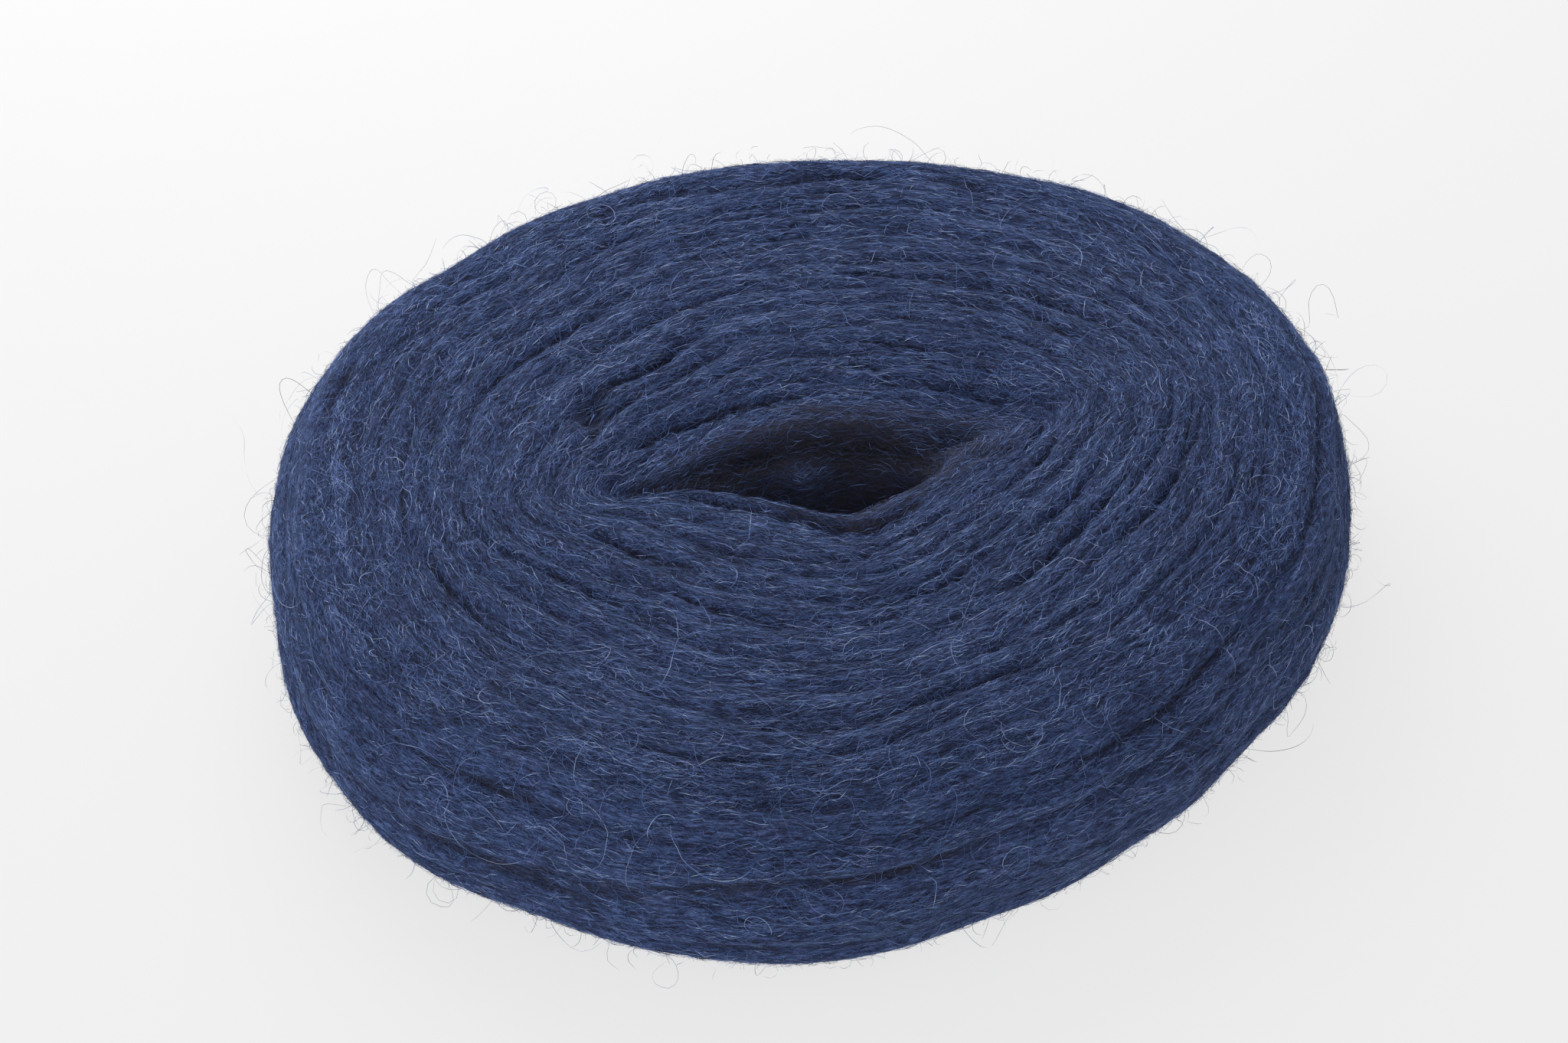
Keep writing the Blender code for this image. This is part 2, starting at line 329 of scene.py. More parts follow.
def turn_relief(row, angle):
    relief = np.zeros_like(angle)
    for face, _, _, turns, height_mm in WINDING:
        share = share_of(row, face)
        phase = turn_phase(face, turns, share, angle)
        count = np.floor(phase)
        across = phase - count
        length = (count - angle / ONE_TURN) * CHANGES_PER_TURN + THREAD_START
        proud = 1.0 + PROUD_SWING * thread_noise(60 + face, length)
        round_top = (4.0 * across * (1.0 - across)) ** ROUND_POWER
        patch = PATCH_LEVEL + PATCH_SWING * lattice_noise(6, 9, 70 + face, share, angle)
        lift = LIFT_SWING * thread_noise(65 + face, length * 1.7)
        turn = height_mm * MM * patch * (proud * (round_top - ROUND_LEVEL) + lift)
        relief = relief + on_face(row, face, turn)
    return relief


LINES_PER_TURN = 2.0
LINE_DEPTH = 0.22 * MM
LINE_LEVEL, LINE_SWING = 0.55, 0.9


def strand_lines(row, angle):
    """How much a place lies on a line between two fine strands, from 0 to 1: a groove, and painted shade
    on fibres.
    """
    lines = np.zeros_like(angle)
    for face, _, _, turns, _ in WINDING[:HOLLOW]:
        share = share_of(row, face)
        phase = LINES_PER_TURN * turn_phase(face, turns, share, angle)
        count = np.floor(phase)
        border = (2.0 * np.abs(phase - count - 0.5)) ** 3
        length = (count - LINES_PER_TURN * angle / ONE_TURN) * CHANGES_PER_TURN + LINE_START
        strength = LINE_LEVEL + LINE_SWING * thread_noise(90 + face, 4.0 * length)
        lines = on_face(row, face, np.clip(strength, 0.0, 1.0) * border, lines)
    return lines


# %% The deeper furrows and the short pockets, placed one by one
FURROWS = (
    # from_deg, to_deg, start_row, middle_row, end_row, depth_mm, width_mm
    (82, 156, 0.045, 0.080, 0.130, 3.0, 1.6),
    (16, 62, 0.055, 0.088, 0.090, 1.2, 1.0),
    (50, 82, 0.145, 0.135, 0.155, 1.5, 1.0),
    (26, 60, 0.150, 0.168, 0.185, 1.3, 1.0),
    (28, 94, 0.215, 0.230, 0.285, 1.5, 1.0),
    (20, 64, 0.320, 0.330, 0.350, 1.2, 1.0),
    (99, 140, 0.415, 0.355, 0.415, 2.2, 1.2),
    (122, 172, 0.300, 0.258, 0.235, 1.5, 1.0),
    (100, 126, 0.290, 0.272, 0.250, 1.2, 1.0),
    (20, 50, 0.435, 0.480, 0.510, 1.5, 1.0),
    (20, 96, 0.575, 0.545, 0.615, 1.4, 0.9),
    (78, 138, 0.550, 0.525, 0.525, 1.3, 0.9),
    (40, 70, 0.665, 0.635, 0.605, 1.2, 0.9),
    (86, 99, 0.680, 0.705, 0.735, 1.6, 1.0),
    (99, 152, 0.685, 0.642, 0.670, 1.4, 0.9),
    (66, 94, 0.890, 0.848, 0.880, 1.3, 1.0),
    (204, 264, 0.020, 0.025, 0.030, 2.2, 1.2),
    (244, 300, 0.000, 0.004, 0.000, 2.6, 2.2),
    (256, 300, 0.055, 0.048, 0.060, 1.4, 0.9),
    (206, 234, 0.140, 0.120, 0.100, 1.1, 1.0),
    (218, 270, 0.200, 0.230, 0.165, 1.9, 1.1),
    (264, 312, 0.180, 0.115, 0.180, 2.4, 1.2),
    (304, 352, 0.150, 0.205, 0.135, 1.9, 1.1),
    (328, 356, 0.095, 0.080, 0.060, 2.4, 1.2),
    (194, 232, 0.305, 0.312, 0.325, 1.9, 1.2),
    (214, 252, 0.405, 0.435, 0.475, 1.7, 1.0),
    (186, 236, 0.565, 0.500, 0.560, 1.7, 1.0),
    (256, 300, 0.400, 0.410, 0.385, 2.2, 1.1),
    (300, 342, 0.395, 0.415, 0.375, 1.7, 1.0),
    (292, 334, 0.555, 0.528, 0.520, 1.7, 1.0),
    (312, 350, 0.655, 0.680, 0.715, 1.6, 1.0),
    (280, 306, 0.720, 0.770, 0.785, 2.2, 1.2),
    (180, 216, 0.805, 0.765, 0.775, 1.5, 1.0),
    (240, 268, 0.790, 0.850, 0.820, 1.8, 1.2),
    (266, 304, 0.820, 0.850, 0.885, 1.7, 1.0),
    (220, 276, 0.955, 0.945, 0.920, 1.0, 0.9),
    (52, 102, 1.090, 1.010, 1.090, 1.8, 1.2),
    (128, 156, 1.130, 1.105, 1.140, 1.3, 1.0),
    (222, 260, 1.190, 1.180, 1.110, 0.9, 0.9),
    (294, 332, 1.345, 1.335, 1.340, 2.0, 1.9),
    (192, 272, 1.440, 1.425, 1.420, 0.9, 0.9),
    (186, 334, 1.520, 1.480, 1.470, 1.0, 1.0),
    (190, 332, 1.590, 1.555, 1.560, 1.1, 1.0),
    (332, 400, 1.330, 1.300, 1.360, 2.0, 1.9),
    (300, 348, 1.640, 1.620, 1.600, 1.3, 3.6),
    (20, 130, 1.500, 1.470, 1.520, 1.4, 1.5),
    (112, 190, 1.660, 1.600, 1.640, 1.4, 1.5),
    (12, 178, 3.800, 3.710, 3.880, 3.6, 3.6),
)
POCKETS = (
    # x_mm, y_mm, half_mm, width_mm, depth_mm, turn_deg; on the top and below the lip
    (-36, 25, 5, 3, 3.5, 60),
    (30.5, 4.5, 4.5, 2, 3.6, -8),
    (33.5, -3.6, 4.5, 1.3, 1.8, -8),
    (-33, 3, 4, 2, 2, 5),
)
LIP_ROW = 3.6
SLOW_TREMBLE_MM, QUICK_TREMBLE_MM = 0.6, 0.35
RAGGED_LEVEL, RAGGED_SWING = 0.8, 0.35


def furrow_relief(row, angle):
    relief = np.zeros_like(angle)
    for from_deg, to_deg, start_row, middle_row, end_row, depth_mm, width_mm in FURROWS:
        face = int(start_row)
        start = math.radians(from_deg)
        along = np.mod(angle - start, ONE_TURN) / math.radians(to_deg - from_deg)
        bow = 4.0 * (middle_row - 0.5 * (start_row + end_row)) * along * (1.0 - along)
        place = 10.0 * start_row + from_deg
        tremble_mm = SLOW_TREMBLE_MM * thread_noise(31, place + 14.0 * angle)
        tremble_mm = tremble_mm + QUICK_TREMBLE_MM * thread_noise(32, place + 60.0 * angle)
        ragged = RAGGED_LEVEL + RAGGED_SWING * thread_noise(33, place + 35.0 * angle)
        if face == HOLLOW:
            tremble_mm, ragged = 0.0, 1.0
        middle = start_row + (end_row - start_row) * along + bow
        away_mm = (row - middle) * FACE_LENGTH_MM[face] - tremble_mm
        fade = np.sqrt(np.sin(math.pi * np.clip(along, 0.0, 1.0)))
        cut = depth_mm * MM * ragged * fade * np.exp(-np.abs(away_mm / width_mm) ** 1.5)
        relief = relief - on_face(row, face, cut)
    return relief


# A tuft of loose wool sticks out into the hollow: its row, direction, size and height.
TUFT = dict(row=3.63, turn_deg=97.0, half_rows=0.07, half_deg=15.0, height_mm=4.0)


def tuft_relief(row, angle):
    away = degrees_from(TUFT["turn_deg"], angle)
    across = (row - TUFT["row"]) / TUFT["half_rows"]
    return TUFT["height_mm"] * MM * np.exp(-(away / TUFT["half_deg"]) ** 2 - across ** 2)


def pocket_relief(points, row):
    relief = np.zeros(row.shape)
    for x_mm, y_mm, half_mm, width_mm, depth_mm, turn_deg in POCKETS:
        turn = math.radians(turn_deg)
        from_x = points[..., 0] / MM - x_mm
        from_y = points[..., 1] / MM - y_mm
        along = (from_x * math.cos(turn) + from_y * math.sin(turn)) / half_mm
        across = (from_y * math.cos(turn) - from_x * math.sin(turn)) / width_mm
        relief = relief - depth_mm * MM * np.exp(-along ** 2 - across ** 2)
    return np.where((row < SIDE) | (row > LIP_ROW), relief, 0.0)


# %% The fine grid of the wool's surface
COLUMNS = 360
ROWS_PER_FACE = (172, 76, 26, 28)
LUMPS = (
    # rows, columns, height_mm, the same on each face
    (28, 50, 0.12),
    (80, 150, 0.06),
)


def grid_rows():
    rows = [face + np.arange(count) / count for face, count in enumerate(ROWS_PER_FACE)]
    return np.concatenate(rows)


def unit(vectors):
    return vectors / np.linalg.norm(vectors, axis=-1, keepdims=True)


def grid_normals(points):
    along_row = np.roll(points, -1, axis=1) - np.roll(points, 1, axis=1)
    along_section = np.roll(points, -1, axis=0) - np.roll(points, 1, axis=0)
    return unit(np.cross(along_section, along_row))


rows = grid_rows()
angles = np.linspace(0.0, ONE_TURN, COLUMNS, endpoint=False)
ROW, ANGLE = np.meshgrid(rows, angles, indexing="ij")
smooth = winding_point(ROW, ANGLE)
outward = grid_normals(smooth)
soft_relief = ridge_relief(ROW, ANGLE)
relief = soft_relief + turn_relief(ROW, ANGLE) + furrow_relief(ROW, ANGLE)
relief += pocket_relief(smooth, ROW) + tuft_relief(ROW, ANGLE)
relief -= LINE_DEPTH * strand_lines(ROW, ANGLE)
for count_across, count_along, height_mm in LUMPS:
    for face in FACES:
        lumps = lattice_noise(count_across, count_along, 80 + face + count_across, ROW - face, ANGLE)
        relief += on_face(ROW, face, height_mm * MM * lumps)
points = smooth + outward * relief[..., None]
veil = smooth + outward * soft_relief[..., None]
middle = 0.5 * (points.min(axis=(0, 1)) + points.max(axis=(0, 1)))
middle[2] = 0.0
for cloud in (points, veil):
    cloud -= middle
    cloud[..., 2] = np.maximum(cloud[..., 2], 0.0)
normals = grid_normals(points)
print("grid", points.shape, "relief mm", round(relief.min() / MM, 2), round(relief.max() / MM, 2))

# %% [markdown]
# ## Three pieces of one skin
#
# The surface could be one object, but a piece this fine is easier to handle in three: the
# top, the side, and the underside with the hollow. They share their border rows, and each
# takes its normals from the whole grid, so that no seam shows. Each gets a flat map of its
# own, with the way around the plate across it and the rows up it: a ring unrolls into a
# strip with hardly any stretch.

# %% Make meshes from arrays
def fill(layer, field, values, kind):
    layer.foreach_set(field, np.ascontiguousarray(values, dtype=kind).ravel())


def mesh_from_quads(name, corners, quads, flat_map):
    mesh = bpy.data.meshes.new(name)
    mesh.vertices.add(len(corners))
    fill(mesh.vertices, "co", corners, np.float32)
    mesh.loops.add(quads.size)
    fill(mesh.loops, "vertex_index", quads, np.int32)
    mesh.polygons.add(len(quads))
    fill(mesh.polygons, "loop_start", np.arange(0, quads.size, 4), np.int32)
    fill(mesh.polygons, "use_smooth", np.ones(len(quads)), bool)
    fill(mesh.uv_layers.new(name="OFBake").data, "uv", flat_map, np.float32)
    mesh.update(calc_edges=True)
    return mesh


def new_object(name, data):
    thing = bpy.data.objects.new(name, data)
    bpy.context.scene.collection.objects.link(thing)
    return thing


def place_piece(name, mesh, material):
    piece = new_object(name, mesh)
    mesh.materials.append(material)
    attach(piece, BODY)
    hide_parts(NODE)


def strip_of_grid(first, last):
    """Rows first to last of the grid as a closed strip: corners, quads and their flat map."""
    picked = np.arange(first, last + 1) % len(rows)
    across, along = np.meshgrid(np.arange(last - first), np.arange(COLUMNS), indexing="ij")
    following = (along + 1) % COLUMNS
    quads = np.stack((
        across * COLUMNS + along,
        (across + 1) * COLUMNS + along,
        (across + 1) * COLUMNS + following,
        across * COLUMNS + following,
    ), axis=-1).reshape(-1, 4)
    u = np.stack((along, along, along + 1, along + 1), axis=-1) / COLUMNS
    v = np.stack((across, across + 1, across + 1, across), axis=-1) / (last - first)
    return picked, quads, np.stack((u, v), axis=-1).reshape(-1, 2)


# %% [markdown]
# ## Wool colour: heather, streaks and hue
#
# Navy wool isn't one colour. Carding mixes dark navy, denim, violet, teal and a few pale
# fibres. Three effects carry this, each a node group that several materials or pieces
# share: soft patches of tone, streaks drawn out along the winding at the width of a few
# fibres, and a tint that leans towards violet, teal or brown. A painted image could do it
# too, but noise has no seam around the plate. A value stored on the points says how deep a
# point lies in a furrow or in the hollow, and a fourth group turns that depth into painted
# shade, down to almost black.

# %% Node helpers
NUMBER, VECTOR, COLOUR = "NodeSocketFloat", "NodeSocketVector", "NodeSocketColor"
WHITE = (1.0, 1.0, 1.0, 1.0)
BLACK = (0.0, 0.0, 0.0, 1.0)


def new_group(name, inputs, output):
    """A node group with named inputs and one named output."""
    group = bpy.data.node_groups.new(name, "ShaderNodeTree")
    for label, kind, value in inputs:
        socket = group.interface.new_socket(label, in_out="INPUT", socket_type=kind)
        if value is not None:
            socket.default_value = value
    group.interface.new_socket(output[0], in_out="OUTPUT", socket_type=output[1])
    entry = group.nodes.new("NodeGroupInput")
    result = group.nodes.new("NodeGroupOutput")
    return group, entry.outputs, result.inputs[output[0]]


def feed(tree, value, socket):
    """Links another node's socket, or sets a plain value."""
    if isinstance(value, bpy.types.NodeSocket):
        tree.links.new(value, socket)
    else:
        socket.default_value = value


def add_node(tree, kind, inputs=(), **settings):
    """A node with its settings, and then its inputs by name or number."""
    node = tree.nodes.new(kind)
    for label, value in settings.items():
        setattr(node, label, value)
    for label, value in dict(inputs).items():
        feed(tree, value, node.inputs[label])
    return node


def math_node(tree, operation, *values):
    return add_node(tree, "ShaderNodeMath", enumerate(values), operation=operation).outputs[0]


def noise_node(tree, place, **inputs):
    return add_node(tree, "ShaderNodeTexNoise", dict(inputs, Vector=place)).outputs["Fac"]


def mix_node(tree, factor, first, second, **settings):
    inputs = dict(Factor=factor, A=first, B=second)
    return add_node(tree, "ShaderNodeMix", inputs, data_type="RGBA", **settings).outputs["Result"]


def place_group(tree, group, **inputs):
    return add_node(tree, "ShaderNodeGroup", inputs, node_tree=group).outputs[0]


def colour_ramp(tree, factor, stops):
    node = add_node(tree, "ShaderNodeValToRGB", dict(Fac=factor))
    while len(node.color_ramp.elements) < len(stops):
        node.color_ramp.elements.new(0.5)
    for element, (position, colour) in zip(node.color_ramp.elements, stops):
        element.position = position
        element.color = (*colour, 1.0)
    return node.outputs["Color"]


# %% The groups: streaks, patches of tone, tint and shade
HUES = (
    (0.30, (0.93, 1.04, 1.00)),
    (0.42, (0.97, 1.02, 1.01)),
    (0.52, (1.00, 0.99, 1.00)),
    (0.62, (1.06, 0.98, 1.01)),
    (0.72, (1.11, 1.00, 0.96)),
)
STREAK_DISTORTION = 0.35


def streak_group():
    """Noise drawn out along the winding, from the flat map of the skin."""
    group, entry, result = new_group("wool_streaks", (
        ("Strip", VECTOR, None),
        ("Around", NUMBER, 20.0),
        ("Across", NUMBER, 300.0),
        ("Slant", NUMBER, 0.0),
        ("Detail", NUMBER, 3.0),
    ), ("Streak", NUMBER))
    split = add_node(group, "ShaderNodeSeparateXYZ", {0: entry["Strip"]}).outputs
    slanted = math_node(group, "MULTIPLY", split["Y"], entry["Slant"])
    turn = math_node(group, "MULTIPLY", split["X"], ONE_TURN)
    turn = math_node(group, "ADD", turn, slanted)
    x = math_node(group, "MULTIPLY", math_node(group, "COSINE", turn), entry["Around"])
    y = math_node(group, "MULTIPLY", math_node(group, "SINE", turn), entry["Around"])
    z = math_node(group, "MULTIPLY", split["Y"], entry["Across"])
    place = add_node(group, "ShaderNodeCombineXYZ", enumerate((x, y, z))).outputs[0]
    detail = entry["Detail"]
    feed(group, noise_node(group, place, Scale=1.0, Distortion=STREAK_DISTORTION, Detail=detail), result)
    return group


def heather_group():
    """Soft patches of tone, from any coordinates."""
    group, entry, result = new_group("wool_heather", (
        ("Place", VECTOR, None),
        ("Size", NUMBER, 40.0),
        ("Strength", NUMBER, 0.3),
    ), ("Tone", NUMBER))
    noise = noise_node(group, entry["Place"], Scale=entry["Size"], Detail=2.0)
    centred = math_node(group, "SUBTRACT", noise, 0.5)
    feed(group, math_node(group, "MULTIPLY", centred, entry["Strength"]), result)
    return group


def hue_group():
    """A tint that leans towards teal, violet or brown, multiplied into a colour."""
    group, entry, result = new_group("wool_hue", (
        ("Wool", COLOUR, WHITE),
        ("Place", VECTOR, None),
        ("Size", NUMBER, 400.0),
    ), ("Wool", COLOUR))
    noise = noise_node(group, entry["Place"], Scale=entry["Size"], Detail=1.0)
    tint = colour_ramp(group, noise, HUES)
    feed(group, mix_node(group, 1.0, entry["Wool"], tint, blend_type="MULTIPLY"), result)
    return group


def shade_group():
    """Darkens wool that lies deep, towards one tone near the surface and another far down."""
    group, entry, result = new_group("furrow_shade", (
        ("Wool", COLOUR, WHITE),
        ("Depth", NUMBER, 0.0),
        ("Shallow", COLOUR, BLACK),
        ("Deep", COLOUR, BLACK),
    ), ("Wool", COLOUR))
    shade = mix_node(group, entry["Depth"], entry["Shallow"], entry["Deep"])
    feed(group, mix_node(group, entry["Depth"], entry["Wool"], shade), result)
    return group


STREAKS, HEATHER, HUE, SHADE = streak_group(), heather_group(), hue_group(), shade_group()
print("node groups", STREAKS.name, HEATHER.name, HUE.name, SHADE.name)

# %% The skin's material
WOOL_TONES = (
    (0.00, (0.011, 0.012, 0.022)),
    (0.25, (0.019, 0.023, 0.053)),
    (0.50, (0.035, 0.052, 0.125)),
    (0.75, (0.065, 0.098, 0.232)),
    (1.00, (0.125, 0.178, 0.370)),
)
# Painted shade: the tones that the skin is darkened towards in the furrows and the hollow.
PAINTED_FURROW_SHADE = (0.025, 0.022, 0.031)
PAINTED_LIP_SHADE = (0.020, 0.027, 0.060)
PAINTED_HOLLOW_SHADE = (0.045, 0.041, 0.053)
WOOL_SURFACE = {
    "Roughness": 0.85,
    "Specular IOR Level": 0.2,
    "Specular Tint": (0.5, 0.65, 1.0, 1.0),
    "Sheen Weight": 0.45,
    "Sheen Roughness": 0.22,
    "Sheen Tint": (0.35, 0.55, 1.0, 1.0),
}
SKIN_PATCHES = (
    # size, strength
    (38.0, 0.3),
    (1900.0, 0.7),
)
SKIN_STREAKS = (
    # around, thread_mm, slant, detail, gain
    (40.0, 0.24, 0.3, 3.0, 1.6),
    (50.0, 0.36, -0.9, 3.0, 1.2),
    (9.0, 1.8, -0.2, 2.0, 0.35),
)
SKIN_HUE_SIZE = 420.0
SKIN_BUMP = dict(Strength=0.6, Distance=0.0003)


def new_material(name, surface):
    """A material with these values on its shader, its nodes, and its shader's inputs."""
    material = bpy.data.materials.new(name)
    material.use_nodes = True
    shader = material.node_tree.nodes["Principled BSDF"]
    for label, value in surface.items():
        shader.inputs[label].default_value = value
    return material, material.node_tree, shader.inputs


def skin_material(name, rows_high_mm, shallow_shade, deep_shade):
    """Wool skin: streaks of three sizes, patches of tone and hue, and painted shade in the furrows."""
    material, tree, shader = new_material(name, WOOL_SURFACE)
    strip = add_node(tree, "ShaderNodeUVMap", uv_map="OFBake").outputs["UV"]
    place = add_node(tree, "ShaderNodeTexCoord").outputs["Object"]
    mixed = math_node(tree, "ADD", *(
        place_group(tree, HEATHER, Place=place, Size=size, Strength=strength)
        for size, strength in SKIN_PATCHES
    ))
    for around, thread_mm, slant, detail, gain in SKIN_STREAKS:
        streak = place_group(
            tree, STREAKS, Strip=strip, Around=around, Across=rows_high_mm / thread_mm,
            Slant=slant, Detail=detail,
        )
        centred = math_node(tree, "SUBTRACT", streak, 0.5)
        mixed = math_node(tree, "ADD", mixed, math_node(tree, "MULTIPLY", centred, gain))
    wool = colour_ramp(tree, math_node(tree, "ADD", mixed, 0.5), WOOL_TONES)
    wool = place_group(tree, HUE, Wool=wool, Place=place, Size=SKIN_HUE_SIZE)
    depth = add_node(tree, "ShaderNodeAttribute", attribute_name="depth").outputs["Fac"]
    tones = dict(Shallow=(*shallow_shade, 1.0), Deep=(*deep_shade, 1.0))
    feed(tree, place_group(tree, SHADE, Wool=wool, Depth=depth, **tones), shader["Base Color"])
    bump = add_node(tree, "ShaderNodeBump", dict(SKIN_BUMP, Height=mixed))
    feed(tree, bump.outputs["Normal"], shader["Normal"])
    return material


# %% Build the skin
def softened(values, count):
    """Values averaged over some rows to both sides."""
    total = values.copy()
    for step in range(1, count + 1):
        total += np.roll(values, step, axis=0) + np.roll(values, -step, axis=0)
    return total / (2 * count + 1)


# Painted shade on the skin: darker in grooves, in broad bands on the side and deep down.
GROOVE_ROWS, BAND_ROWS = 5, 14
SUNK_FROM_MM, SUNK_RANGE_MM = 0.8, 2.4
groove_mm = (softened(relief, GROOVE_ROWS) - relief) / MM
band_mm = (softened(relief, BAND_ROWS) - relief) / MM * on_face(ROW, SIDE, 1.2, 0.3)
sunk = (-relief / MM - SUNK_FROM_MM) / SUNK_RANGE_MM
groove_gain = on_face(ROW, SIDE, 0.6, 1.15)
painted_shade_depth = np.clip(groove_gain * groove_mm + 0.2 * band_mm + sunk, 0.0, 0.95)
# Painted shade in the hollow: the wool is painted darker from the lip down, over a longer way
# at the front and the ends, and less dark on the tuft that stands up.
lit_share = 0.16 - 0.04 * np.sin(ANGLE) + 0.14 * np.cos(ANGLE) ** 2
below_lip = np.clip((4.0 - ROW) / lit_share, 0.0, 1.0)
hollow_painted_shade = 0.72 * below_lip + 0.3 * painted_shade_depth - 0.12 * tuft_relief(ROW, ANGLE) / MM
painted_shade_depth = on_face(ROW, HOLLOW, np.maximum(hollow_painted_shade, 0.0), painted_shade_depth)
SKIN_STRIPS = (
    # name, first row, last row, height in mm, painted shade tone of shallow and of deep places
    ("wool_top", 0.0, 1.12, 88.0, PAINTED_FURROW_SHADE, PAINTED_FURROW_SHADE),
    ("wool_side", 1.12, 2.0, 40.0, PAINTED_FURROW_SHADE, PAINTED_FURROW_SHADE),
    ("wool_under", 2.0, 4.0, 118.0, PAINTED_LIP_SHADE, PAINTED_HOLLOW_SHADE),
)


def row_index(row):
    return int(np.searchsorted(rows, row - 1e-9))


triangles_made = 0
for name, first_row, last_row, high_mm, shallow_shade, deep_shade in SKIN_STRIPS:
    picked, quads, flat_map = strip_of_grid(row_index(first_row), row_index(last_row))
    mesh = mesh_from_quads(name, points[picked].reshape(-1, 3), quads, flat_map)
    fill(mesh.attributes.new("depth", "FLOAT", "POINT").data, "value", painted_shade_depth[picked], np.float32)
    mesh.normals_split_custom_set_from_vertices(normals[picked].reshape(-1, 3))
    place_piece(name, mesh, skin_material(name + "_skin", high_mm, shallow_shade, deep_shade))
    triangles_made += 2 * len(quads)
    print(name, 2 * len(quads), "triangles")

# %% [markdown]
# ## The fibres that lie on the wool
#
# A particle system could comb hairs over the skin, but it would leave curves, and the part
# needs meshes. So each fibre is a narrow ribbon of a few quads. It starts at a random spot,
# heads mostly along the winding, and walks over the rows and angles of the grid, so it
# follows every ridge and may bridge a furrow.
#
# Wool fibres cling together in locks, thin wisps that share one tone, and between two
# strands of the roving a dark line stays open. So a fibre takes the tone of its lock and
# lies higher in a light one, gets painted shade on a line or in a furrow, and fewer start there.
# The tone is written in its flat map: across the map runs the tone, up it runs the fibre
# from root to tip, and one row of tones then colours all of them.

# %% Walk over the winding
LEAST_STRETCH = 0.004
WITHIN_CELL = 0.98
WIGGLE_MOST, WIGGLE_PACE = 0.5, 6.0
ROOT_LIFT, ROOT_BRIDGE = 0.6, 0.2
TIP_WIDTH, TAPER_POWER = 0.35, 0.6


def sample_grid(values, row, angle):
    """Values of a grid at any row and angle, blended between its four nearest points."""
    face = face_of(np.mod(row, 4.0))
    share = np.mod(row, 4.0) - face
    counts = np.array(ROWS_PER_FACE)
    starts = np.concatenate(([0], np.cumsum(counts)[:-1]))
    across = starts[face] + share * counts[face]
    along = np.mod(angle / ONE_TURN, 1.0) * COLUMNS
    low, left = np.floor(across).astype(int), np.floor(along).astype(int)
    part_across, part_along = (across - low)[..., None], (along - left)[..., None]
    low, high = low % len(rows), (low + 1) % len(rows)
    left, right = left % COLUMNS, (left + 1) % COLUMNS
    lower = blend(values[low, left], values[low, right], part_along)
    upper = blend(values[high, left], values[high, right], part_along)
    return blend(lower, upper, part_across)


step_along = np.linalg.norm(np.roll(smooth, -1, axis=1) - smooth, axis=-1)
step_across = np.linalg.norm(np.roll(smooth, -1, axis=0) - smooth, axis=-1)
cell_area = step_along * step_across
length_per_angle = step_along * COLUMNS / ONE_TURN
length_per_row = step_across * np.array(ROWS_PER_FACE)[face_of(ROW)]
metric = np.stack((length_per_angle, length_per_row), axis=-1)
bridge = np.maximum(np.sum((veil - points) * normals, axis=-1), 0.0)
carpet = np.concatenate((points, normals, bridge[..., None], metric, painted_shade_depth[..., None]), axis=-1)


def scatter(rng, count, row_from, row_to, weight=1.0):
    """Random rows and angles between two rows, spread by area and by weight."""
    share = (cell_area * ((ROW >= row_from) & (ROW < row_to)) * weight).ravel()
    cells = rng.choice(share.size, size=count, p=share / share.sum())
    row_step = 1.0 / np.array(ROWS_PER_FACE)[face_of(ROW.ravel()[cells])]
    row = ROW.ravel()[cells] + rng.random(count) * row_step * WITHIN_CELL
    angle = ANGLE.ravel()[cells] + rng.random(count) * ONE_TURN / COLUMNS
    return row, angle


def lay_fibres(rng, row, angle, length, heading, curl, lift, tip_lift, steps):
    """Paths over the surface: points, normals, and the painted shade each fibre takes from the skin."""
    pace = length / steps
    track, facing = [], []
    wave = rng.uniform(0.0, ONE_TURN, len(row))
    wiggle = rng.uniform(0.0, WIGGLE_MOST, len(row))
    bridging = rng.random(len(row)) ** 3
    sunk = np.zeros(len(row))
    for step in range(steps + 1):
        share = step / steps
        here = sample_grid(carpet, row, angle)
        place, up = here[:, 0:3], unit(here[:, 3:6])
        arch = math.sin(math.pi * share)
        height = lift * (ROOT_LIFT + (1.0 - ROOT_LIFT) * arch) + tip_lift * share
        height = height + bridging * here[:, 6] * (ROOT_BRIDGE + (1.0 - ROOT_BRIDGE) * arch)
        track.append(place + up * height[:, None])
        facing.append(up)
        sunk += (1.0 - bridging) * here[:, 9] / (steps + 1)
        bearing = heading + curl * (share - 0.5) + wiggle * np.sin(wave + WIGGLE_PACE * share)
        angle = angle + pace * np.cos(bearing) / np.maximum(here[:, 7], LEAST_STRETCH)
        row = row + pace * np.sin(bearing) / np.maximum(here[:, 8], LEAST_STRETCH)
    return np.stack(track, axis=1), np.stack(facing, axis=1), sunk


LOCKS = (
    # rows, columns, slant, share
    (280, 190, 0.5, 0.5),
    (190, 110, -0.8, 0.5),
)


def lock_tone(row, angle):
    """Tone of the lock that a fibre belongs to, about -1 to 1: long and thin, along the turns."""
    tone = np.zeros_like(angle)
    for face in FACES:
        share = share_of(row, face)
        scale = FACE_LENGTH_MM[face] / FACE_LENGTH_MM[TOP]
        lock = np.zeros_like(angle)
        for count_across, count_along, slant, part in LOCKS:
            lattice = (int(count_across * scale), count_along, 110 + face + count_along)
            lock = lock + part * lattice_noise(*lattice, share, angle + slant * share)
        tone = on_face(row, face, lock, tone)
    return tone


